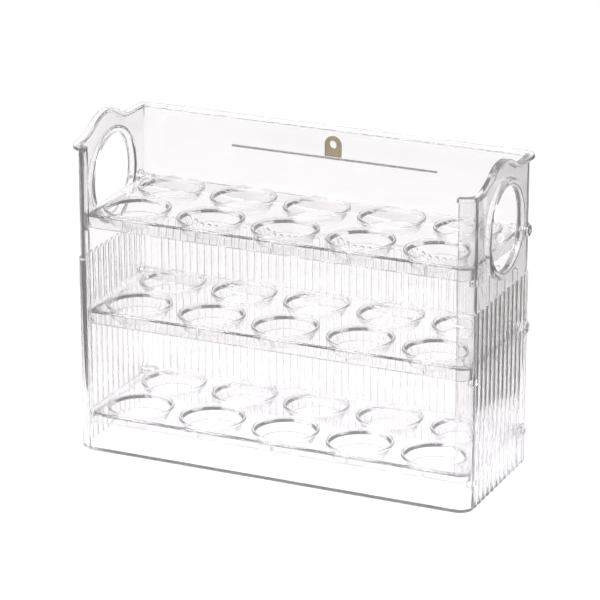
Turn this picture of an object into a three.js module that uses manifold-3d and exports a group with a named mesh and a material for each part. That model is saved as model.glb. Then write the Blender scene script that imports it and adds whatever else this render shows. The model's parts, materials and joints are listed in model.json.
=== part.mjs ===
// Egg holder: a clear stand with three trays of ten cups, each hinged at the back.
// Millimetres, +Z up, front towards -Y. The origin is under the middle of the stand.
import * as THREE from 'three';
import { mergeVertices } from 'three/addons/utils/BufferGeometryUtils.js';
import Module from 'manifold-3d';

const wasm = await Module();
wasm.setup();

// Stand
const WIDTH = 260; // over the plain side walls
const DEPTH = 95; // over the plain front and back
const WALL = 2;
const FLOOR = 2;
const FRONT_RADIUS = 9;
const BACK_RADIUS = 4;
const WINDOW = 242; // opening between the turned-in front edges
const APRON_TOP = 23.4;
const REAR_TOP = 199;
const FRONT_TOP = 197.2;
const HUMP_TOP = 208.4;
const RIM_OUT = 3.2;
const RIM_THICK = 2.5;
const CUT = 20; // overshoot of a cutting tool

// Flutes on the lower outside
const FLUTE_TOP = 125;
const FLUTE_PROUD = 1;
const FLUTE_ROOT = 0.9; // depth that a flute is let into its wall
const FLUTE_FOOT = 0.8; // plain edge left under the flutes
const SIDE_FLUTES = 12;
const SIDE_PITCH = 7;
const SIDE_SHIFT = 2.3; // the row of flutes sits a little towards the back
const BACK_FLUTES = 49;
const BACK_PITCH = 5;
const FLUTE_FILL = 0.74; // share of the pitch that a flute covers
const BAND_GAP = 1.2; // plain wall left between the last flute and a corner's band

// Handle openings
const HANDLE_Y = 3;
const HANDLE_Z = 164.5;
const HANDLE_RADIUS = 26.5;
const COLLAR_RADIUS = 31;
const COLLAR_OUT = 3;

// Trays
const DECK_LEVELS = { top: 153.5, middle: 91.5, bottom: 24 };
const SKIRTS = { top: 8.5, middle: 8.5, bottom: 5.5 };
const TRAY_SIDE_GAP = 0.6;
const TRAY_FRONT_GAP = 0.7;
const TRAY_BACK_GAP = 0.7;
const DECK = 1.8;
const SKIRT_WALL = 1.6;
const COLUMNS = 5;
const CUP_PITCH_X = 49.6;
const CUP_PITCH_Y = 46.4;
const CUP_SIDES = 16;
const CUP = {
  rimOuter: 21, rimInner: 19.3, rimTop: 2, bevel: 0.7, // rim
  footOuter: 17.3, footInner: 15.9, foot: -7,
};
const WEB = { thick: 1.2, bite: 0.4, foot: 0.5 }; // between the skirt and each front cup

// Hinges
const PIVOT_TO_WALL = 5.8;
const PIVOT_BELOW_DECK = 1;
const BORE = 2;
const PIN = 1.7;
const PIN_HEAD = 3.6;
const PIN_HEAD_THICK = 1.2;
const BOSS = 4.8;
const BOSS_OUT = 1.6;
const BARREL = 3.2;
const BARREL_LONG = 8;
const BARREL_END = 1; // closed inner end of a barrel
const GAP = 0.3;

// Rests under the front corners of the trays
const REST = { reach: 3, long: 6, tall: 4, y: -37 };

// Hanger behind the back wall
const HANGER = { long: 138, tall: 1.5, thick: 1.5, z: 178 };
const EYE = { width: 11, tall: 15, hole: 2.6 };

const HALF = WIDTH / 2;
const FRONT = -DEPTH / 2;
const BACK = DEPTH / 2;
const INSIDE = HALF - WALL;
const PIVOT_Y = BACK - WALL - PIVOT_TO_WALL;
const ROUND = 24;

function toSolid(geometry) {
  const bare = geometry.clone();
  bare.deleteAttribute('normal');
  bare.deleteAttribute('uv');
  const merged = mergeVertices(bare, 1e-4);
  return new wasm.Manifold(new wasm.Mesh({
    numProp: 3,
    vertProperties: new Float32Array(merged.getAttribute('position').array),
    triVerts: new Uint32Array(merged.index.array),
  }));
}

function toGeometry(solid) {
  const mesh = solid.getMesh();
  const geometry = new THREE.BufferGeometry();
  geometry.setAttribute('position', new THREE.BufferAttribute(mesh.vertProperties, 3));
  geometry.setIndex(new THREE.BufferAttribute(mesh.triVerts, 1));
  geometry.computeVertexNormals();
  return geometry;
}

function joinAll(solids) {
  return solids.reduce((sum, solid) => sum.add(solid));
}

// A flat shape pushed along Z, Y or X between two stations.
function alongZ(shape, from, to, curveSegments = 6) {
  const options = { depth: to - from, bevelEnabled: false, curveSegments };
  const geometry = new THREE.ExtrudeGeometry(shape, options);
  return geometry.translate(0, 0, from);
}

function alongY(shape, from, to, curveSegments = 6) {
  const turn = new THREE.Matrix4().makeBasis(
    new THREE.Vector3(1, 0, 0),
    new THREE.Vector3(0, 0, 1),
    new THREE.Vector3(0, -1, 0),
  );
  return alongZ(shape, -to, -from, curveSegments).applyMatrix4(turn);
}

function alongX(shape, from, to, curveSegments = 6) {
  const turn = new THREE.Matrix4().makeBasis(
    new THREE.Vector3(0, 1, 0),
    new THREE.Vector3(0, 0, 1),
    new THREE.Vector3(1, 0, 0),
  );
  return alongZ(shape, from, to, curveSegments).applyMatrix4(turn);
}

function box(xs, ys, zs) {
  const geometry = new THREE.BoxGeometry(xs[1] - xs[0], ys[1] - ys[0], zs[1] - zs[0]);
  return toSolid(geometry.translate((xs[0] + xs[1]) / 2, (ys[0] + ys[1]) / 2, (zs[0] + zs[1]) / 2));
}

// A round bar lying along X.
function barX(radius, from, to, y, z, sides = ROUND) {
  const geometry = new THREE.CylinderGeometry(radius, radius, to - from, sides);
  return toSolid(geometry.rotateZ(Math.PI / 2).translate((from + to) / 2, y, z));
}

// The stand's plan, grown by an offset, with its own radii at the front and back.
function planShape(grow) {
  const x = HALF + grow;
  const front = FRONT - grow;
  const back = BACK + grow;
  const rf = FRONT_RADIUS + grow;
  const rb = BACK_RADIUS + grow;
  const shape = new THREE.Shape();
  shape.moveTo(-x + rf, front);
  shape.lineTo(x - rf, front);
  shape.absarc(x - rf, front + rf, rf, -Math.PI / 2, 0, false);
  shape.absarc(x - rb, back - rb, rb, 0, Math.PI / 2, false);
  shape.absarc(-x + rb, back - rb, rb, Math.PI / 2, Math.PI, false);
  shape.absarc(-x + rf, front + rf, rf, Math.PI, 1.5 * Math.PI, false);
  shape.closePath();
  return shape;
}

// Points of the side wall's top edge, low at the front, humped over the handle, level at the back.
function topEdge() {
  const bend = new THREE.SplineCurve([
    new THREE.Vector2(-42, FRONT_TOP),
    new THREE.Vector2(-33, FRONT_TOP + 1),
    new THREE.Vector2(-24, FRONT_TOP + 4.2),
    new THREE.Vector2(-14, HUMP_TOP - 1.8),
    new THREE.Vector2(-4, HUMP_TOP),
    new THREE.Vector2(6, HUMP_TOP - 1.6),
    new THREE.Vector2(14, REAR_TOP + 3.8),
    new THREE.Vector2(21, REAR_TOP + 0.8),
    new THREE.Vector2(28, REAR_TOP),
  ]);
  const ends = DEPTH;
  return [
    new THREE.Vector2(-ends, FRONT_TOP),
    ...bend.getPoints(18),
    new THREE.Vector2(ends, REAR_TOP),
  ];
}

// Everything between the top edge lowered by `drop` and a level far above.
function aboveTopEdge(drop) {
  const edge = topEdge().map((point) => new THREE.Vector2(point.x, point.y - drop));
  const ceiling = HUMP_TOP + CUT;
  const shape = new THREE.Shape([
    ...edge,
    new THREE.Vector2(DEPTH, ceiling),
    new THREE.Vector2(-DEPTH, ceiling),
  ]);
  return toSolid(alongX(shape, -WIDTH, WIDTH));
}

function ringOfPlan(outside, inside, from, to) {
  const outer = toSolid(alongZ(planShape(outside), from, to));
  return outer.subtract(toSolid(alongZ(planShape(inside), from - CUT, to + CUT)));
}

function frontWindow() {
  return box([-WINDOW / 2, WINDOW / 2], [FRONT - CUT, FRONT + FRONT_RADIUS], [APRON_TOP, HUMP_TOP + CUT]);
}

function wallsAndRim() {
  const ceiling = HUMP_TOP + 1;
  const walls = ringOfPlan(0, -WALL, 0, ceiling).subtract(aboveTopEdge(0));
  const rim = ringOfPlan(RIM_OUT, -WALL, FRONT_TOP - 2 * RIM_THICK, ceiling)
    .intersect(aboveTopEdge(RIM_THICK))
    .subtract(aboveTopEdge(0));
  const floor = toSolid(alongZ(planShape(0), 0, FLOOR));
  return walls.add(rim).subtract(frontWindow()).add(floor);
}

// One flute as a tall panel with a round head, standing on the bench.
function fluteShape(across, width) {
  const radius = width / 2;
  const shape = new THREE.Shape();
  shape.moveTo(across - radius, FLUTE_FOOT);
  shape.lineTo(across + radius, FLUTE_FOOT);
  shape.absarc(across, FLUTE_TOP - radius, radius, 0, Math.PI, false);
  shape.closePath();
  return shape;
}

function spread(count, pitch) {
  return Array.from({ length: count }, (_, i) => (i - (count - 1) / 2) * pitch);
}

function flutes() {
  const bars = [];
  for (const y of spread(SIDE_FLUTES, SIDE_PITCH)) {
    const shape = fluteShape(y + SIDE_SHIFT, SIDE_PITCH * FLUTE_FILL);
    bars.push(toSolid(alongX(shape, HALF - FLUTE_ROOT, HALF + FLUTE_PROUD, 4)));
    bars.push(toSolid(alongX(shape, -HALF - FLUTE_PROUD, -HALF + FLUTE_ROOT, 4)));
  }
  for (const x of spread(BACK_FLUTES, BACK_PITCH)) {
    const shape = fluteShape(x, BACK_PITCH * FLUTE_FILL);
    bars.push(toSolid(alongY(shape, BACK - FLUTE_ROOT, BACK + FLUTE_PROUD, 4)));
  }
  return bars;
}

// Bands round the four corners, as proud and as tall as the flutes.
function cornerBands() {
  const band = ringOfPlan(FLUTE_PROUD, -FLUTE_ROOT, FLUTE_FOOT, FLUTE_TOP);
  const rowHalf = (count, pitch) => ((count - 1 + FLUTE_FILL) * pitch) / 2 + BAND_GAP;
  const side = rowHalf(SIDE_FLUTES, SIDE_PITCH);
  const back = rowHalf(BACK_FLUTES, BACK_PITCH);
  const front = WINDOW / 2 + BAND_GAP;
  const tall = [0, FLUTE_TOP + 1];
  const atFront = band
    .subtract(box([-WIDTH, WIDTH], [SIDE_SHIFT - side, DEPTH], tall))
    .subtract(box([-front, front], [-DEPTH, DEPTH], tall));
  const atBack = band
    .subtract(box([-WIDTH, WIDTH], [-DEPTH, SIDE_SHIFT + side], tall))
    .subtract(box([-back, back], [-DEPTH, DEPTH], tall));
  return [atFront, atBack];
}

function pivotZ(level) {
  return DECK_LEVELS[level] - PIVOT_BELOW_DECK;
}

// Bosses, rests and collars that stand on the two side walls.
function sideFittings(side) {
  const span = (near, far) => [Math.min(side * near, side * far), Math.max(side * near, side * far)];
  const collar = span(INSIDE + WALL / 2, HALF + COLLAR_OUT);
  const fittings = [barX(COLLAR_RADIUS, ...collar, HANDLE_Y, HANDLE_Z, 32)];
  for (const level of Object.keys(DECK_LEVELS)) {
    fittings.push(barX(BOSS, ...span(INSIDE + WALL / 2, HALF + BOSS_OUT), PIVOT_Y, pivotZ(level), 16));
    const top = DECK_LEVELS[level] - SKIRTS[level] - GAP;
    fittings.push(box(
      span(INSIDE - REST.reach, INSIDE + WALL / 2),
      [REST.y - REST.long / 2, REST.y + REST.long / 2],
      [top - REST.tall, top],
    ));
  }
  return fittings;
}

function makeFrame() {
  const outside = [...flutes(), ...cornerBands(), ...sideFittings(-1), ...sideFittings(1)];
  const solid = joinAll([wallsAndRim(), ...outside]);
  const reach = WIDTH;
  const holes = Object.keys(DECK_LEVELS).map((level) => {
    return barX(BORE, -reach, reach, PIVOT_Y, pivotZ(level), 12);
  });
  const handles = barX(HANDLE_RADIUS, -reach, reach, HANDLE_Y, HANDLE_Z, 32);
  return solid.subtract(joinAll([...holes, handles]));
}

// The tray's plan, clear of the stand on all sides and inset by `inset`.
function trayShape(inset) {
  const x = INSIDE - TRAY_SIDE_GAP - inset;
  const front = FRONT + WALL + TRAY_FRONT_GAP + inset;
  const back = BACK - WALL - TRAY_BACK_GAP - inset;
  const rf = FRONT_RADIUS - WALL - TRAY_SIDE_GAP - inset;
  const rb = BACK_RADIUS - inset;
  const shape = new THREE.Shape();
  shape.moveTo(-x + rf, front);
  shape.absarc(x - rf, front + rf, rf, -Math.PI / 2, 0, false);
  shape.absarc(x - rb, back - rb, rb, 0, Math.PI / 2, false);
  shape.absarc(-x + rb, back - rb, rb, Math.PI / 2, Math.PI, false);
  shape.absarc(-x + rf, front + rf, rf, Math.PI, 1.5 * Math.PI, false);
  shape.closePath();
  return shape;
}

// Open tapered cup with a beaded rim, turned about Z.
function cupRing() {
  const profile = [
    new THREE.Vector2(CUP.footInner, CUP.foot),
    new THREE.Vector2(CUP.footOuter, CUP.foot),
    new THREE.Vector2(CUP.rimOuter, -DECK / 2),
    new THREE.Vector2(CUP.rimOuter, CUP.rimTop - CUP.bevel),
    new THREE.Vector2((CUP.rimOuter + CUP.rimInner) / 2, CUP.rimTop),
    new THREE.Vector2(CUP.rimInner, CUP.rimTop - CUP.bevel),
    new THREE.Vector2(CUP.footInner, CUP.foot),
  ];
  return toSolid(new THREE.LatheGeometry(profile, CUP_SIDES).rotateX(Math.PI / 2));
}

function cupPlug() {
  const radius = (CUP.rimOuter + CUP.rimInner) / 2;
  return toSolid(new THREE.CylinderGeometry(radius, radius, CUT, CUP_SIDES).rotateX(Math.PI / 2));
}

function cupPlaces() {
  const rows = spread(2, CUP_PITCH_Y);
  return rows.flatMap((y) => spread(COLUMNS, CUP_PITCH_X).map((x) => [x, y, 0]));
}

// One tray about its own deck's top face.
function makeTray(skirt) {
  let tray = toSolid(alongZ(trayShape(0), -skirt, 0));
  tray = tray.subtract(toSolid(alongZ(trayShape(SKIRT_WALL), -skirt - CUT, -DECK)));
  const plug = cupPlug();
  const ring = cupRing();
  for (const place of cupPlaces()) {
    tray = tray.subtract(plug.translate(place)).add(ring.translate(place));
  }
  const front = FRONT + WALL + TRAY_FRONT_GAP + SKIRT_WALL / 2;
  for (const x of spread(COLUMNS, CUP_PITCH_X)) {
    const cone = -CUP_PITCH_Y / 2 - CUP.footOuter - WEB.bite;
    const web = box([x - WEB.thick / 2, x + WEB.thick / 2], [front, cone], [WEB.foot - skirt, -DECK / 2]);
    tray = tray.add(web);
  }
  for (const side of [-1, 1]) {
    const outer = side * (INSIDE - TRAY_SIDE_GAP);
    const span = (depth) => [Math.min(outer, outer - side * depth), Math.max(outer, outer - side * depth)];
    tray = tray.add(barX(BARREL, ...span(BARREL_LONG), PIVOT_Y, -PIVOT_BELOW_DECK, 16));
    const bore = span(BARREL_LONG - BARREL_END);
    bore[side > 0 ? 1 : 0] += side * CUT;
    tray = tray.subtract(barX(BORE, ...bore, PIVOT_Y, -PIVOT_BELOW_DECK, 12));
  }
  return tray;
}

// Pin with a round head outside the wall, its shank towards +X or -X.
function makePin(side) {
  const head = HALF + BOSS_OUT + GAP;
  const tip = INSIDE - TRAY_SIDE_GAP - BARREL_LONG + BARREL_END + GAP;
  const profile = [
    new THREE.Vector2(0, tip),
    new THREE.Vector2(PIN, tip),
    new THREE.Vector2(PIN, head),
    new THREE.Vector2(PIN_HEAD, head),
    new THREE.Vector2(PIN_HEAD, head + PIN_HEAD_THICK),
    new THREE.Vector2(0, head + PIN_HEAD_THICK),
  ];
  return toSolid(new THREE.LatheGeometry(profile, 12).rotateZ(-side * Math.PI / 2));
}

// Thin strip with an upright eye in its middle.
function makeHanger() {
  const y = [BACK + GAP, BACK + GAP + HANGER.thick];
  const strip = box([-HANGER.long / 2, HANGER.long / 2], y, [HANGER.z, HANGER.z + HANGER.tall]);
  const radius = EYE.width / 2;
  const shape = new THREE.Shape();
  shape.moveTo(-radius, HANGER.z + HANGER.tall / 2);
  shape.lineTo(radius, HANGER.z + HANGER.tall / 2);
  shape.absarc(0, HANGER.z + EYE.tall - radius, radius, 0, Math.PI, false);
  shape.closePath();
  const hole = new THREE.Path();
  hole.absarc(0, HANGER.z + EYE.tall - radius, EYE.hole, 0, 2 * Math.PI, true);
  shape.holes.push(hole);
  return strip.add(toSolid(alongY(shape, ...y, 8)));
}

const CLEAR = new THREE.MeshStandardMaterial({
  color: 0xe9e6e4, roughness: 0.08, metalness: 0, transparent: true, opacity: 0.35,
});
const AMBER = new THREE.MeshStandardMaterial({
  color: 0xb59a6c, roughness: 0.15, metalness: 0, transparent: true, opacity: 0.6,
});

function addMesh(group, name, solid, material, z = 0) {
  const mesh = new THREE.Mesh(toGeometry(solid), material.clone());
  mesh.name = name;
  mesh.position.z = z;
  group.add(mesh);
}

const holder = new THREE.Group();
addMesh(holder, 'frame', makeFrame(), CLEAR);
for (const level of Object.keys(DECK_LEVELS)) {
  addMesh(holder, `${level}_tray`, makeTray(SKIRTS[level]), CLEAR, DECK_LEVELS[level]);
  for (const [word, side] of [['left', -1], ['right', 1]]) {
    const pin = makePin(side).translate([0, PIVOT_Y, 0]);
    addMesh(holder, `${level}_pin_${word}`, pin, CLEAR, pivotZ(level));
  }
}
addMesh(holder, 'hanging_eye', makeHanger(), AMBER);

export default holder;
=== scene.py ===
"""A clear egg holder: a fluted stand, three hinged trays of ten cups, six pins and a hanging eye."""
import bisect
import json
import math

import bmesh
import bpy
from mathutils import Matrix, Vector


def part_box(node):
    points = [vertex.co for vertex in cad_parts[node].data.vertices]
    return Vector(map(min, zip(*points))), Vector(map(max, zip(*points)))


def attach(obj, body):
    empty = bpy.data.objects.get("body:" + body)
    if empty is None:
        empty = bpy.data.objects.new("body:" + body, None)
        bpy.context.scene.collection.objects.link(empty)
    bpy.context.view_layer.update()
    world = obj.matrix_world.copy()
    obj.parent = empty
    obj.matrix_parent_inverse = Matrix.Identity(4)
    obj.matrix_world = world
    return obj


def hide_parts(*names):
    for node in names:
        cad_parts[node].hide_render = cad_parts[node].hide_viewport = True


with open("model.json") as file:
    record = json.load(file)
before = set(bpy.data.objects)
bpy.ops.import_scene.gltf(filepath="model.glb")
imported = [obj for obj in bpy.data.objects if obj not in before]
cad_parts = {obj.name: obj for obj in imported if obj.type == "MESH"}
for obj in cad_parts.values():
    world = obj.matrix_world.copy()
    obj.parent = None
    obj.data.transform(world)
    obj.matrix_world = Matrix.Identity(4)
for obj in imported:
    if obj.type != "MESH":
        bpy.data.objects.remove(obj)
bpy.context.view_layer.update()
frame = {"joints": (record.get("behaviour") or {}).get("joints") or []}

MM = 0.001

# ---------------------------------------------------------------- sizes, in millimetres


def box_mm(node):
    low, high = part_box(node)
    return low / MM, high / MM


STAND_LOW, STAND_HIGH = box_mm("frame")
JOINTS = {joint["child"]: joint for joint in frame["joints"]}
SKIRTS = {"top": 8.5, "middle": 8.5, "bottom": 5.5}  # height of each tray's turned-down edge
LEVELS = tuple(SKIRTS)

# Stand
RIM_OUT = 3.2
RIM_THICK = 2.5
RIM_SLACK = 0.02  # keeps the rim within the CAD's faceted corners
WALL = 2.0
HALF = STAND_HIGH.x - RIM_OUT  # plain side wall, outside
BACK = STAND_HIGH.y - RIM_OUT
FRONT = -BACK
FRONT_RADIUS = 9.0
BACK_RADIUS = 4.0
HUMP_TOP = STAND_HIGH.z
REAR_TOP = 199.0
FRONT_TOP = 197.2
WINDOW_HALF = 121.0
APRON_TOP = 23.4
FLUTE_PROUD = 1.0
FLUTE_TOP = 125.0
FLUTE_FOOT = 0.8
FLUTE_FILL = 0.74  # share of the pitch that a flute covers
SIDE_ROW = (12, 7.0, 2.3)  # flutes, pitch, shift towards the back
BACK_ROW = (49, 5.0, 0.0)
BAND_GAP = 1.2  # plain wall between the last flute and a corner's band
BAND_EDGE = 0.6  # width over which a band rises from the wall
HANDLE_Y = 3.0
HANDLE_Z = 164.5
HANDLE_RADIUS = 26.5
COLLAR_RADIUS = 31.0
COLLAR_OUT = 3.0
COLLAR_LAP = 1.6  # depth of collar that the wall's opening leaves for it
COLLAR_ROUND = 2.6
BOSS_RADIUS = 4.8
BOSS_OUT = 1.6
REST_GAP = 0.3  # under the edge of a closed tray
REST_REACH = 3.0
REST_TALL = 4.0
REST_Y = (-40.0, -34.0)

# Trays and pins
DECK = 1.8
DECK_ROUND = 0.9
SKIRT_WALL = 1.6
TRAY_GAP = 0.6  # between a tray's front corner and the wall
CUP_COLUMNS = 5
CUP_ROWS = 2
CUP_PITCH_X = 49.6
CUP_PITCH_Y = 46.4
CUP_HOLE = 19.3
WEB_THICK = 1.2  # between the skirt and each front cup
WEB_FOOT = 0.6
WEB_FRONT = 0.8
WEB_REAR = 17.2  # from the cup's middle
BARREL = 3.2
BARREL_LONG = 8.0
BARREL_EDGE = 0.6
BARREL_SLACK = 0.2
BARREL_END = 1.0  # thickness of the barrel's closed end
BORE = 2.0
PIVOT_DROP = 1.0  # pivot line below the deck
PIN_RADIUS = 1.7
PIN_TIP = 0.4
PIN_HEAD = 1.2

# Hanging eye
STRIP_TALL = 1.0
EYE_FOOT = 1.7  # above the strip's lower edge
EYE_RADIUS = 5.5
EYE_HOLE = 2.6
EYE_EDGE = 0.3

# Sides of turned shapes
HANDLE_SIDES = 96
CUP_SIDES = 64
PIN_SIDES = 40
BORE_SIDES = 32
CUT = 20.0  # overshoot of a cutting tool


# ---------------------------------------------------------------- mesh tools


def to_object(name, bm):
    """A linked object from a bmesh given in millimetres."""
    bmesh.ops.remove_doubles(bm, verts=bm.verts, dist=1e-5)
    bmesh.ops.recalc_face_normals(bm, faces=bm.faces)
    mesh = bpy.data.meshes.new(name)
    bm.transform(Matrix.Scale(MM, 4))
    bm.to_mesh(mesh)
    bm.free()
    made = bpy.data.objects.new(name, mesh)
    bpy.context.scene.collection.objects.link(made)
    return made


def loft(bm, loops, close=False):
    """Faces between loops of equal length.

    With close the last loop meets the first, else both ends are capped.
    """
    rings = [[bm.verts.new(point) for point in loop] for loop in loops]
    pairs = list(zip(rings, rings[1:]))
    if close:
        pairs.append((rings[-1], rings[0]))
    for low, high in pairs:
        for i in range(len(low)):
            j = (i + 1) % len(low)
            bm.faces.new((low[i], low[j], high[j], high[i]))
    if not close:
        bm.faces.new(rings[0])
        bm.faces.new(rings[-1])


def lofted(name, loops, close=False):
    bm = bmesh.new()
    loft(bm, loops, close)
    return to_object(name, bm)


def turned(name, profile, sides, axis="Z", place=(0, 0, 0)):
    """A closed profile of (radius, height) turned about an axis through place."""
    turn = {
        "Z": Matrix.Identity(3),
        "X": Matrix.Rotation(math.pi / 2, 3, "Y"),
        "-X": Matrix.Rotation(-math.pi / 2, 3, "Y"),
        "Y": Matrix.Rotation(-math.pi / 2, 3, "X"),
    }[axis]
    loops = []
    for step in range(sides):
        angle = 2 * math.pi * step / sides
        across = Vector((math.cos(angle), math.sin(angle), 0))
        loops.append([turn @ (across * r + Vector((0, 0, h))) + Vector(place) for r, h in profile])
    return lofted(name, loops, close=True)


def arc(centre, radius, start, end, steps):
    """Points of an arc in a plane, angles in degrees."""
    return [
        (
            centre[0] + radius * math.cos(math.radians(start + (end - start) * i / steps)),
            centre[1] + radius * math.sin(math.radians(start + (end - start) * i / steps)),
        )
        for i in range(steps + 1)
    ]


def rounded_rect(half_x, half_y, radius):
    """Outline of a rectangle with round corners, centred on zero."""
    x, y, steps = half_x - radius, half_y - radius, 3
    return [
        *arc((x, y), radius, 0, 90, steps),
        *arc((-x, y), radius, 90, 180, steps),
        *arc((-x, -y), radius, 180, 270, steps),
        *arc((x, -y), radius, 270, 360, steps),
    ]


def block(name, low, high, ease=0.0, radius=0.3):
    """A block with upright corners rounded and its top and bottom edges eased."""
    centre_x, centre_y = (low[0] + high[0]) / 2, (low[1] + high[1]) / 2
    half_x, half_y = (high[0] - low[0]) / 2, (high[1] - low[1]) / 2
    if ease:
        levels = ((ease, low[2]), (0, low[2] + ease), (0, high[2] - ease), (ease, high[2]))
    else:
        levels = ((0, low[2]), (0, high[2]))
    loops = []
    for inset, z in levels:
        outline = rounded_rect(half_x - inset, half_y - inset, max(radius - inset, 0.05))
        loops.append([(x + centre_x, y + centre_y, z) for x, y in outline])
    return lofted(name, loops)


def bar(name, radius, start, end, y, z, sides=BORE_SIDES):
    """A round cutting bar along X."""
    profile = [(0, start), (radius, start), (radius, end), (0, end)]
    return turned(name, profile, sides, "X", (0, y, z))


def combine(target, tool, operation):
    """Applies a boolean with tool to target, and removes tool."""
    modifier = target.modifiers.new("join", "BOOLEAN")
    modifier.operation = operation
    modifier.solver = "MANIFOLD"
    modifier.object = tool
    graph = bpy.context.evaluated_depsgraph_get()
    mesh = bpy.data.meshes.new_from_object(target.evaluated_get(graph))
    target.modifiers.clear()
    old = target.data
    target.data = mesh
    bpy.data.meshes.remove(old)
    bpy.data.objects.remove(tool)
    return target


def smooth(piece, degrees=30):
    """Smooth shading, with edges sharper than an angle kept crisp."""
    piece.data.shade_smooth()
    piece.data.set_sharp_from_angle(angle=math.radians(degrees))
    return piece


# ---------------------------------------------------------------- materials


def plastic(name, colours, roughness):
    """Moulded plastic that varies between two colours in faint flow lines, with a soft haze of scuffs."""
    material = bpy.data.materials.new(name)
    material.use_nodes = True
    tree = material.node_tree
    nodes, links = tree.nodes, tree.links
    nodes.clear()
    out = nodes.new("ShaderNodeOutputMaterial")
    shader = nodes.new("ShaderNodeBsdfPrincipled")
    shader.inputs["Transmission Weight"].default_value = 0.96
    shader.inputs["IOR"].default_value = 1.5
    coords = nodes.new("ShaderNodeTexCoord")

    flow = nodes.new("ShaderNodeTexNoise")
    flow.inputs["Scale"].default_value = 9.0
    flow.inputs["Detail"].default_value = 3.0
    flow.inputs["Distortion"].default_value = 0.6
    links.new(coords.outputs["Object"], flow.inputs["Vector"])

    tint = nodes.new("ShaderNodeValToRGB")
    tint.color_ramp.elements[0].position = 0.35
    tint.color_ramp.elements[0].color = (*colours[0], 1)
    tint.color_ramp.elements[1].position = 0.7
    tint.color_ramp.elements[1].color = (*colours[1], 1)
    links.new(flow.outputs["Fac"], tint.inputs["Fac"])
    links.new(tint.outputs["Color"], shader.inputs["Base Color"])

    scuff = nodes.new("ShaderNodeTexNoise")
    scuff.inputs["Scale"].default_value = 55.0
    scuff.inputs["Detail"].default_value = 5.0
    links.new(coords.outputs["Object"], scuff.inputs["Vector"])
    haze = nodes.new("ShaderNodeMapRange")
    haze.inputs["From Min"].default_value = 0.4
    haze.inputs["From Max"].default_value = 0.75
    haze.inputs["To Min"].default_value = roughness[0]
    haze.inputs["To Max"].default_value = roughness[1]
    links.new(scuff.outputs["Fac"], haze.inputs["Value"])
    links.new(haze.outputs["Result"], shader.inputs["Roughness"])

    # Lamps pass straight through, so the stand throws only a faint shadow.
    path = nodes.new("ShaderNodeLightPath")
    passing = nodes.new("ShaderNodeBsdfTransparent")
    passing.inputs["Color"].default_value = (0.93, 0.93, 0.94, 1)
    mix = nodes.new("ShaderNodeMixShader")
    links.new(path.outputs["Is Shadow Ray"], mix.inputs["Fac"])
    links.new(shader.outputs["BSDF"], mix.inputs[1])
    links.new(passing.outputs["BSDF"], mix.inputs[2])
    links.new(mix.outputs["Shader"], out.inputs["Surface"])
    return material


def dress(piece, material, body, slot, *nodes):
    """Finish, body and replaced CAD nodes of one piece; the slot argument is not used."""
    piece.data.materials.clear()
    piece.data.materials.append(material)
    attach(piece, body)
    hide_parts(*nodes)
    return piece


# ---------------------------------------------------------------- stand


def spline_points(knots, per_span):
    """Points of a uniform Catmull-Rom curve through the knots."""
    padded = [knots[0], *knots, knots[-1]]
    points = []
    for a, b, c, d in zip(padded, padded[1:], padded[2:], padded[3:]):
        for i in range(per_span):
            t = i / per_span
            points.append(tuple(
                0.5 * (2 * q + (r - p) * t + (2 * p - 5 * q + 4 * r - s) * t ** 2
                       + (3 * q - p - 3 * r + s) * t ** 3)
                for p, q, r, s in zip(a, b, c, d)
            ))
    points.append(knots[-1])
    return points


TOP_EDGE = spline_points(
    [
        (-42, FRONT_TOP),
        (-33, FRONT_TOP + 1),
        (-24, FRONT_TOP + 4.2),
        (-14, HUMP_TOP - 1.8),
        (-4, HUMP_TOP),
        (6, HUMP_TOP - 1.6),
        (14, REAR_TOP + 3.8),
        (21, REAR_TOP + 0.8),
        (28, REAR_TOP),
    ],
    8,
)
TOP_EDGE_Y = [point[0] for point in TOP_EDGE]


def top_height(y):
    """Height of the wall's top edge above the floor at depth y."""
    if y <= TOP_EDGE[0][0]:
        return FRONT_TOP
    if y >= TOP_EDGE[-1][0]:
        return REAR_TOP
    i = bisect.bisect_right(TOP_EDGE_Y, y)
    (y0, z0), (y1, z1) = TOP_EDGE[i - 1], TOP_EDGE[i]
    return z0 + (z1 - z0) * (y - y0) / (y1 - y0)


FLUTE_STEPS = (-1, -0.98, -0.92, -0.7, -0.38, 0, 0.38, 0.7, 0.92, 0.98, 1)  # shares of its half width


def flute_row(count, pitch, shift):
    """(place along the wall, rise of the flute as a function of height) across a row of flutes."""
    radius = pitch * FLUTE_FILL / 2
    row = []
    for i in range(count):
        centre = (i - (count - 1) / 2) * pitch + shift
        row += [(centre + step * radius, flute_rise(step, radius)) for step in FLUTE_STEPS]
    return row


def row_end(count, pitch, shift, sign):
    """Where a corner's band begins beyond one end of a row."""
    return shift + sign * ((count - 1 + FLUTE_FILL) * pitch / 2 + BAND_GAP)


def flute_rise(share, radius):
    """How far a flute stands out, with a round head, at a share of its half width."""

    def rise(z):
        if z < FLUTE_FOOT + 0.1:
            return 0.0
        head = max(0.0, z - (FLUTE_TOP - radius)) / radius
        return FLUTE_PROUD * math.sqrt(max(0.0, 1 - share ** 2 - head ** 2))

    return rise


def band_rise(weight):
    """How far a corner's band stands out, with a rounded top edge."""

    def rise(z):
        if z < FLUTE_FOOT + 0.1:
            return 0.0
        head = min(1.0, max(0.0, z - (FLUTE_TOP - FLUTE_PROUD)) / FLUTE_PROUD)
        return FLUTE_PROUD * weight * math.sqrt(1 - head ** 2)

    return rise


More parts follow.
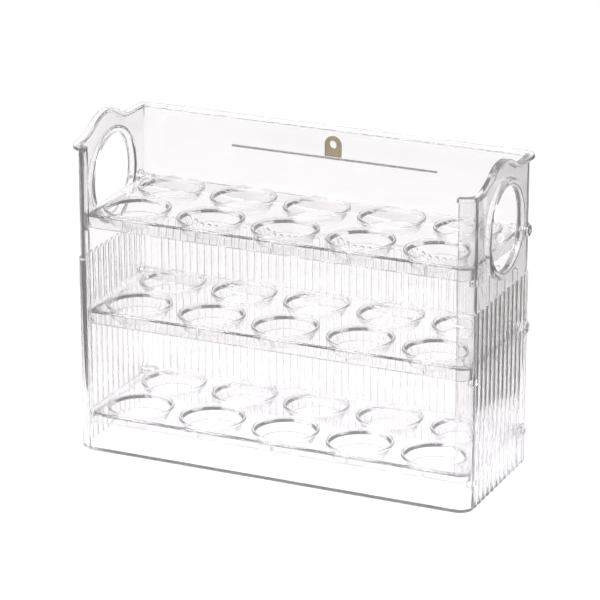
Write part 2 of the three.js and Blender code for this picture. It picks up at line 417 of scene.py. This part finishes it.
def corner_arc(centre, radius, start, near, far):
    """A quarter of the plan, its band lying between two angles past the start."""
    ease = math.degrees(BAND_EDGE / radius)
    inner = [near + (far - near) * i / 10 for i in range(1, 10)]
    weights = {0: 0, near: 0, near + ease * 0.15: 0.55, near + ease * 0.5: 0.87, near + ease: 1}
    weights |= {far - ease: 1, far - ease * 0.5: 0.87, far - ease * 0.15: 0.55, far: 0, 90: 0}
    weights |= {angle: 1 for angle in inner if near + ease < angle < far - ease}
    stations = []
    for turn in sorted(weights):
        angle = math.radians(start + turn)
        normal = Vector((math.cos(angle), math.sin(angle)))
        stations.append((Vector(centre) + normal * radius, normal, band_rise(weights[turn])))
    return stations


def plan_path():
    """Stations round the stand: point, outward normal, and rise as a function of height."""
    front_x, front_y = HALF - FRONT_RADIUS, FRONT + FRONT_RADIUS
    back_x, back_y = HALF - BACK_RADIUS, BACK - BACK_RADIUS

    def reach(gap, radius):
        return math.degrees(math.asin(gap / radius))

    front_near = reach(WINDOW_HALF + BAND_GAP - front_x, FRONT_RADIUS)
    front_far = 90 - reach(front_y - row_end(*SIDE_ROW, -1), FRONT_RADIUS)
    back_near = reach(row_end(*SIDE_ROW, 1) - back_y, BACK_RADIUS)
    back_far = 90 - reach(max(row_end(*BACK_ROW, 1) - back_x, 0.0), BACK_RADIUS)
    side = [(Vector((HALF, y)), Vector((1, 0)), rise) for y, rise in flute_row(*SIDE_ROW)]
    right = [
        *corner_arc((front_x, front_y), FRONT_RADIUS, -90, front_near, front_far),
        *side,
        *corner_arc((back_x, back_y), BACK_RADIUS, 0, back_near, back_far),
    ]
    left = [(Vector((-p.x, p.y)), Vector((-n.x, n.y)), rise) for p, n, rise in reversed(right)]
    back = [(Vector((x, BACK)), Vector((0, 1)), rise) for x, rise in reversed(flute_row(*BACK_ROW))]
    return [*right, *back, *left]


# Heights of the wall section's outer points, close together where the flutes' heads round off.
FACE_LEVELS = (
    0.6, FLUTE_FOOT, 1.2, 30, 60, 90, 115, 121.4, 121.9, 122.4, 122.8, 123.2, 123.5, 123.8, 124.1, 124.4,
    124.65, 124.85, 124.97, FLUTE_TOP + 0.1, 135, 150, 165, 180,
)


def wall_section(rise, top):
    """Closed section of the wall at one station, as (outward, height)."""
    under = top - RIM_THICK
    reach = RIM_OUT - RIM_SLACK
    outer = [(rise(z), z) for z in FACE_LEVELS]
    return [
        (-WALL + 0.3, 0),
        (-0.7, 0),
        (-0.27, 0.1),
        *outer,
        (0, under - 0.6),
        (0.2, under - 0.15),
        (0.6, under),
        (reach - 0.35, under),
        *arc((reach - 0.35, under + 0.35), 0.35, -60, 0, 2),
        *arc((reach - 0.5, top - 0.5), 0.5, 0, 90, 4),
        *arc((-WALL + 0.5, top - 0.5), 0.5, 90, 180, 4),
        (-WALL, 120),
        (-WALL, 60),
        (-WALL, 0.3),
    ]


def walls():
    loops = []
    for point, normal, rise in plan_path():
        top = top_height(point.y)
        loops.append([
            (point.x + normal.x * out, point.y + normal.y * out, z)
            for out, z in wall_section(rise, top)
        ])
    return lofted("stand", loops, close=True)


def floor_plate():
    inset = WALL / 2
    loops = []
    for z in (0.15, WALL):
        loops.append([
            (p.x - n.x * inset, p.y - n.y * inset, z)
            for p, n, _ in plan_path()[::3]
        ])
    return lofted("floor_plate", loops)


def outward(side):
    return "X" if side > 0 else "-X"


def collar(side):
    """Rounded ring round the handle opening, standing out of the wall."""
    near, far = HALF - WALL - 0.2, HALF + COLLAR_OUT
    profile = [
        *arc((HANDLE_RADIUS + 0.8, near + 0.8), 0.8, 180, 270, 3),
        (COLLAR_RADIUS - 0.4, near),
        (COLLAR_RADIUS, near + 0.4),
        *arc((COLLAR_RADIUS - COLLAR_ROUND, far - COLLAR_ROUND), COLLAR_ROUND, 0, 90, 9),
        *arc((HANDLE_RADIUS + 0.7, far - 0.7), 0.7, 90, 180, 4),
    ]
    return turned("collar", profile, HANDLE_SIDES, outward(side), (0, HANDLE_Y, HANDLE_Z))


def boss(side, z):
    near, far, ease = HALF - WALL / 2, HALF + BOSS_OUT, 0.5
    crown = arc((BOSS_RADIUS - ease, far - ease), ease, 0, 90, 3)
    profile = [(0, near), (BOSS_RADIUS, near), *crown, (0, far)]
    return turned("boss", profile, PIN_SIDES, outward(side), (0, PIVOT_Y, z))


def pivot_height(level):
    return JOINTS[level]["pos_m"][2] / MM


def deck_height(level):
    return pivot_height(level) + PIVOT_DROP


PIVOT_Y = JOINTS["top"]["pos_m"][1] / MM


def rest(side, level):
    """Small ledge under a tray's front corner."""
    top = deck_height(level) - SKIRTS[level] - REST_GAP
    inner, outer = HALF - WALL - REST_REACH, HALF - WALL / 2
    xs = sorted((side * inner, side * outer))
    low, high = (xs[0], REST_Y[0], top - REST_TALL), (xs[1], REST_Y[1], top)
    return block("rest", low, high, ease=0.5, radius=0.8)


def make_stand(material):
    stand = walls()
    window = block(
        "window",
        (-WINDOW_HALF, FRONT - CUT, APRON_TOP),
        (WINDOW_HALF, FRONT + FRONT_RADIUS, HUMP_TOP + CUT),
        radius=0.2,
    )
    combine(stand, window, "DIFFERENCE")
    combine(stand, floor_plate(), "UNION")
    opening = HANDLE_RADIUS + COLLAR_LAP
    handles = bar("handles", opening, -2 * HALF, 2 * HALF, HANDLE_Y, HANDLE_Z, HANDLE_SIDES)
    combine(stand, handles, "DIFFERENCE")
    for side in (-1, 1):
        combine(stand, collar(side), "UNION")
        for level in LEVELS:
            combine(stand, boss(side, pivot_height(level)), "UNION")
            combine(stand, rest(side, level), "UNION")
    for level in LEVELS:
        bore = bar("bore", BORE, -2 * HALF, 2 * HALF, PIVOT_Y, pivot_height(level))
        combine(stand, bore, "DIFFERENCE")
    return dress(smooth(stand), material, "stand", "clear_plastic", "frame")


# ---------------------------------------------------------------- trays


def tray_outline(low, high, inset):
    """The tray's plan with its own front and back corner radii, drawn in by inset."""
    steps = 10
    front_radius, back_radius = FRONT_RADIUS - WALL - TRAY_GAP - inset, BACK_RADIUS - inset
    x0, x1, y0, y1 = low.x + inset, high.x - inset, low.y + inset, high.y - inset
    return [
        *arc((x1 - front_radius, y0 + front_radius), front_radius, 270, 360, steps),
        *arc((x1 - back_radius, y1 - back_radius), back_radius, 0, 90, steps),
        *arc((x0 + back_radius, y1 - back_radius), back_radius, 90, 180, steps),
        *arc((x0 + front_radius, y0 + front_radius), front_radius, 180, 270, steps),
    ]


def tray_blank(name, low, high, deck, skirt):
    """Deck with a turned-down skirt, before its cups."""
    foot = deck - skirt
    section = [
        (SKIRT_WALL, deck - DECK),
        (SKIRT_WALL, foot + 0.4),
        (SKIRT_WALL - 0.3, foot),
        (0.3, foot),
        (0, foot + 0.4),
        (0, deck - 1.1),
        *arc((DECK_ROUND, deck - DECK_ROUND), DECK_ROUND, 165, 90, 3),
    ]
    loops = [[(x, y, z) for x, y in tray_outline(low, high, inset)] for inset, z in section]
    return lofted(name, loops)


# A cup's section as (radius, height above the deck): round foot, flaring wall and rolled rim.
CUP_PROFILE = [
    *arc((16.3, -6.6), 0.4, 180, 270, 3),
    *arc((16.9, -6.6), 0.4, 270, 350, 3),
    (19.75, -1.0),
    (20.45, 0.15),
    *arc((20.15, 1.15), 0.85, -50, 200, 12),
    (19.05, 0.4),
]


def cup(place):
    return turned("cup", CUP_PROFILE, CUP_SIDES, "Z", place)


def spread(count, pitch):
    return [(i - (count - 1) / 2) * pitch for i in range(count)]


def make_tray(level, material):
    node = f"{level}_tray"
    low, high = box_mm(node)
    deck = deck_height(level)
    skirt = SKIRTS[level]
    tray = tray_blank(f"{level}_tray_moulding", low, high, deck, skirt)
    hole = [(0, deck - CUT), (CUP_HOLE, deck - CUT), (CUP_HOLE, deck + CUT), (0, deck + CUT)]
    for y in spread(CUP_ROWS, CUP_PITCH_Y):
        for x in spread(CUP_COLUMNS, CUP_PITCH_X):
            combine(tray, turned("plug", hole, CUP_SIDES, "Z", (x, y, 0)), "DIFFERENCE")
            combine(tray, cup((x, y, deck)), "UNION")
    for x in spread(CUP_COLUMNS, CUP_PITCH_X):
        web_low = (x - WEB_THICK / 2, low.y + WEB_FRONT, deck - skirt + WEB_FOOT)
        web_high = (x + WEB_THICK / 2, -CUP_PITCH_Y / 2 - WEB_REAR, deck - DECK / 2)
        combine(tray, block("web", web_low, web_high), "UNION")
    inner, outer = high.x - BARREL_LONG, high.x - BARREL_SLACK
    shut, mouth = inner + BARREL_END, high.x + CUT
    edge = (BARREL - BARREL_EDGE, inner)
    barrel = [(0, inner), edge, (BARREL, inner + BARREL_EDGE), (BARREL, outer), (0, outer)]
    bore = [(0, shut), (BORE, shut), (BORE, mouth), (0, mouth)]
    place = (0, PIVOT_Y, deck - PIVOT_DROP)
    for side in (-1, 1):
        combine(tray, turned("barrel", barrel, BORE_SIDES, outward(side), place), "UNION")
        combine(tray, turned("bore", bore, BORE_SIDES, outward(side), place), "DIFFERENCE")
    return dress(smooth(tray), material, level, "clear_plastic", node)


# ---------------------------------------------------------------- pins and hanger


def make_pin(level, word, material):
    node = f"{level}_pin_{word}"
    low, high = box_mm(node)
    side = 1 if word == "right" else -1
    tip, head_top = sorted((abs(low.x), abs(high.x)))
    head = head_top - PIN_HEAD
    head_radius = (high.z - low.z) / 2
    profile = [
        (0, tip),
        (PIN_RADIUS - PIN_TIP, tip),
        (PIN_RADIUS, tip + PIN_TIP),
        (PIN_RADIUS, head),
        (head_radius - 0.2, head),
        *arc((head_radius - 0.6, head_top - 0.7), 0.6, -30, 80, 5),
        (head_radius * 0.4, head_top - 0.02),
        (0, head_top),
    ]
    place = (0, PIVOT_Y, pivot_height(level))
    pin = turned(f"{level}_{word}_pivot", profile, PIN_SIDES, outward(side), place)
    return dress(smooth(pin), material, "stand", "clear_plastic", node)


def make_hanger(strip_material, eye_material):
    """A dark grey strip along the back wall, and the eye that stands up from its middle."""
    low, high = box_mm("hanging_eye")
    strip_top = (high.x, high.y, low.z + STRIP_TALL)
    strip = block("hanging_strip", low, strip_top, ease=0.25, radius=0.5)
    dress(smooth(strip), strip_material, "stand", "amber_plastic", "hanging_eye")
    middle, foot = high.z - EYE_RADIUS, low.z + EYE_FOOT
    outline = [(-EYE_RADIUS, foot), (EYE_RADIUS, foot), *arc((0, middle), EYE_RADIUS, 0, 180, 20)]

    def at(scale, y):
        return [(x * scale, y, middle + (h - middle) * scale) for x, h in outline]

    slices = [at(0.95, low.y), at(1, low.y + EYE_EDGE), at(1, high.y - EYE_EDGE), at(0.95, high.y)]
    eye = lofted("eye_tab", slices)
    hole = [(0, -CUT), (EYE_HOLE, -CUT), (EYE_HOLE, CUT), (0, CUT)]
    cutter = turned("eye_hole", hole, PIN_SIDES, "Y", (0, (low.y + high.y) / 2, middle))
    combine(eye, cutter, "DIFFERENCE")
    dress(smooth(eye), eye_material, "stand", "amber_plastic", "hanging_eye")


# ---------------------------------------------------------------- studio, in metres

CAMERA_AZIMUTH = math.radians(24.33)  # towards the right from straight in front
CAMERA_ELEVATION = math.radians(19.48)
CAMERA_DISTANCE = 2.073
CAMERA_AIM = (-0.0008, 0, 0.1015)
CAMERA_LENS = 203.5
CAMERA_SENSOR = 36
FLOOR_FRONT = (-0.24, 0.2)  # place of the table's front edge, and half its width there
FLOOR_REAR = (6.0, 0.85)
FLOOR_DROP = 0.0004
KEY_POWER = 1.85
KEY_ANGLE = math.radians(35)
SOFTBOX_POWER = 3
SOFTBOX_SIZE = 0.5
BOUNCES = 40


def make_floor():
    """A white table top, square to the camera, that runs and widens far back from just before the stand."""
    front, front_half = FLOOR_FRONT
    rear, rear_half = FLOOR_REAR
    corners = ((-front_half, front), (front_half, front), (rear_half, rear), (-rear_half, rear))
    bm = bmesh.new()
    bm.faces.new([bm.verts.new((x, y, 0)) for x, y in corners])
    mesh = bpy.data.meshes.new("studio_floor")
    bm.to_mesh(mesh)
    bm.free()
    table = bpy.data.objects.new("studio_floor", mesh)
    table.location.z = -FLOOR_DROP
    table.rotation_euler.z = CAMERA_AZIMUTH
    bpy.context.scene.collection.objects.link(table)
    material = bpy.data.materials.new("pale_floor")
    material.use_nodes = True
    shader = material.node_tree.nodes["Principled BSDF"]
    shader.inputs["Base Color"].default_value = (0.93, 0.93, 0.93, 1)
    shader.inputs["Roughness"].default_value = 0.7
    shader.inputs["Specular IOR Level"].default_value = 0.2
    mesh.materials.append(material)


def add_lamp(name, kind, place, aim, power, size):
    lamp = bpy.data.lights.new(name, kind)
    lamp.energy = power
    if kind == "SUN":
        lamp.angle = size
    else:
        lamp.size = size
    holder = bpy.data.objects.new(name, lamp)
    holder.location = place
    holder.rotation_mode = "QUATERNION"
    holder.rotation_quaternion = (Vector(aim) - Vector(place)).to_track_quat("-Z", "Y")
    bpy.context.scene.collection.objects.link(holder)


# Brightness of the studio by height, from straight down to straight up.
SKY = (
    (-1.0, (0.1, 0.09, 0.08)),
    (-0.02, (0.16, 0.145, 0.135)),
    (0.0, (0.35, 0.33, 0.32)),
    (0.08, (0.5, 0.48, 0.47)),
    (0.2, (1.0, 1.0, 1.0)),
    (0.38, (1.0, 1.0, 1.0)),
    (0.6, (0.6, 0.59, 0.6)),
    (1.0, (0.42, 0.4, 0.4)),
)


def make_world():
    """White round the horizon, grey overhead and below the table, so that clear edges draw as lines."""
    world = bpy.data.worlds.new("studio")
    world.use_nodes = True
    nodes, links = world.node_tree.nodes, world.node_tree.links
    nodes.clear()
    out = nodes.new("ShaderNodeOutputWorld")
    sky = nodes.new("ShaderNodeBackground")
    coords = nodes.new("ShaderNodeTexCoord")
    parts = nodes.new("ShaderNodeSeparateXYZ")
    height = nodes.new("ShaderNodeMapRange")
    height.inputs["From Min"].default_value = -1.0
    ramp = nodes.new("ShaderNodeValToRGB")
    links.new(coords.outputs["Generated"], parts.inputs["Vector"])
    links.new(parts.outputs["Z"], height.inputs["Value"])
    links.new(height.outputs["Result"], ramp.inputs["Fac"])
    stops = ramp.color_ramp.elements
    stops[0].color = (*SKY[0][1], 1)
    stops[1].color = (*SKY[-1][1], 1)
    for level, colour in SKY[1:-1]:
        stops.new((level + 1) / 2).color = (*colour, 1)
    links.new(ramp.outputs["Color"], sky.inputs["Color"])
    links.new(sky.outputs["Background"], out.inputs["Surface"])
    bpy.context.scene.world = world


def make_camera():
    back = Vector((
        math.sin(CAMERA_AZIMUTH) * math.cos(CAMERA_ELEVATION),
        -math.cos(CAMERA_AZIMUTH) * math.cos(CAMERA_ELEVATION),
        math.sin(CAMERA_ELEVATION),
    ))
    data = bpy.data.cameras.new("camera")
    data.sensor_width = CAMERA_SENSOR
    data.lens = CAMERA_LENS
    camera = bpy.data.objects.new("camera", data)
    camera.location = Vector(CAMERA_AIM) + back * CAMERA_DISTANCE
    camera.rotation_mode = "QUATERNION"
    camera.rotation_quaternion = (-back).to_track_quat("-Z", "Y")
    bpy.context.scene.collection.objects.link(camera)
    bpy.context.scene.camera = camera


def make_studio():
    make_floor()
    make_world()
    add_lamp("key", "SUN", (-0.8, -0.8, 1.4), (0, 0, 0), KEY_POWER, KEY_ANGLE)
    add_lamp("softbox", "AREA", (-0.6, -0.5, 1.3), (0, 0, 0.1), SOFTBOX_POWER, SOFTBOX_SIZE)
    scene = bpy.context.scene
    scene.view_settings.view_transform = "Standard"
    scene.cycles.max_bounces = BOUNCES
    scene.cycles.transmission_bounces = BOUNCES
    scene.cycles.transparent_max_bounces = BOUNCES
    scene.cycles.glossy_bounces = 8


def main():
    make_camera()
    clear = plastic("clear_plastic", ((0.96, 0.948, 0.954), (0.978, 0.97, 0.976)), (0.0, 0.02))
    amber = plastic("amber_plastic", ((0.33, 0.26, 0.14), (0.46, 0.37, 0.22)), (0.03, 0.09))
    # The strip is coloured dark grey, far darker than the clear plastic round it, to draw a dark line along
    # the back wall.
    dark_strip = plastic("dark_grey_strip_plastic", ((0.16, 0.15, 0.15), (0.24, 0.23, 0.22)), (0.05, 0.15))
    make_stand(clear)
    for level in LEVELS:
        make_tray(level, clear)
        for word in ("left", "right"):
            make_pin(level, word, clear)
    make_hanger(dark_strip, amber)
    make_studio()


main()
